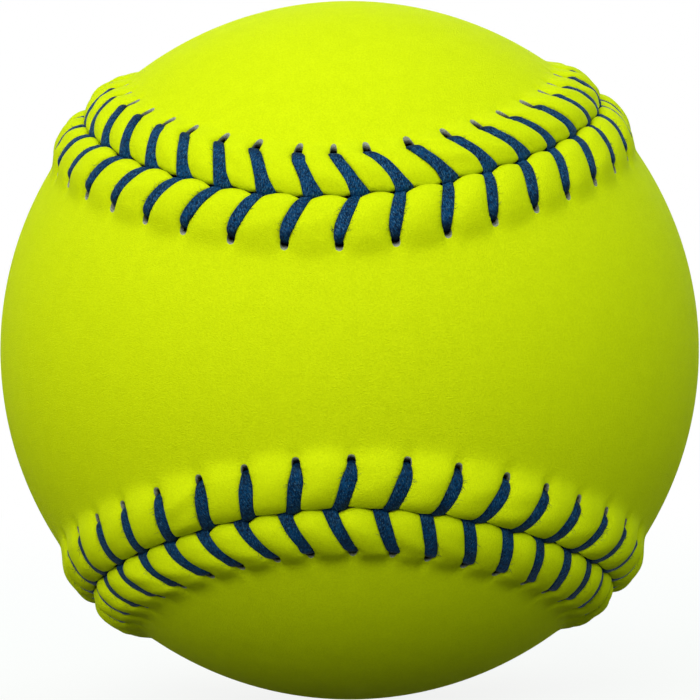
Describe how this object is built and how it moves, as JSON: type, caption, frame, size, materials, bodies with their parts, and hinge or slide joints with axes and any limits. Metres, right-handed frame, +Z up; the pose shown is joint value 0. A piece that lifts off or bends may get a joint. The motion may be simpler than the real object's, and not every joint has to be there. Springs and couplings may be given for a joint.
{
  "type": "softball",
  "caption": "Solid-core ball with a two-panel leather cover and a raised, hand-sewn seam, for batting and pitching games.",
  "frame": {"origin": "centre of the ball", "axes": "+Z up; the front panel's waist faces -Y with its lobes round +X and -X; the back panel's waist faces +Y with its lobes over +Z and -Z"},
  "size_m": [0.097, 0.097, 0.097],
  "materials": {
    "moulded_core": "matt moulded polyurethane",
    "rubber_cement": "dried cement film",
    "optic_yellow_leather": "dyed optic-yellow leather with a fine pebbled grain, semi-matt",
    "waxed_navy_thread": "flat waxed navy thread"
  },
  "bodies": {
    "root": {"core": "moulded_core", "cement_coat": "rubber_cement", "front_panel": "optic_yellow_leather", "back_panel": "optic_yellow_leather", "first_needle_thread": "waxed_navy_thread", "second_needle_thread": "waxed_navy_thread"}
  },
  "joints": []
}
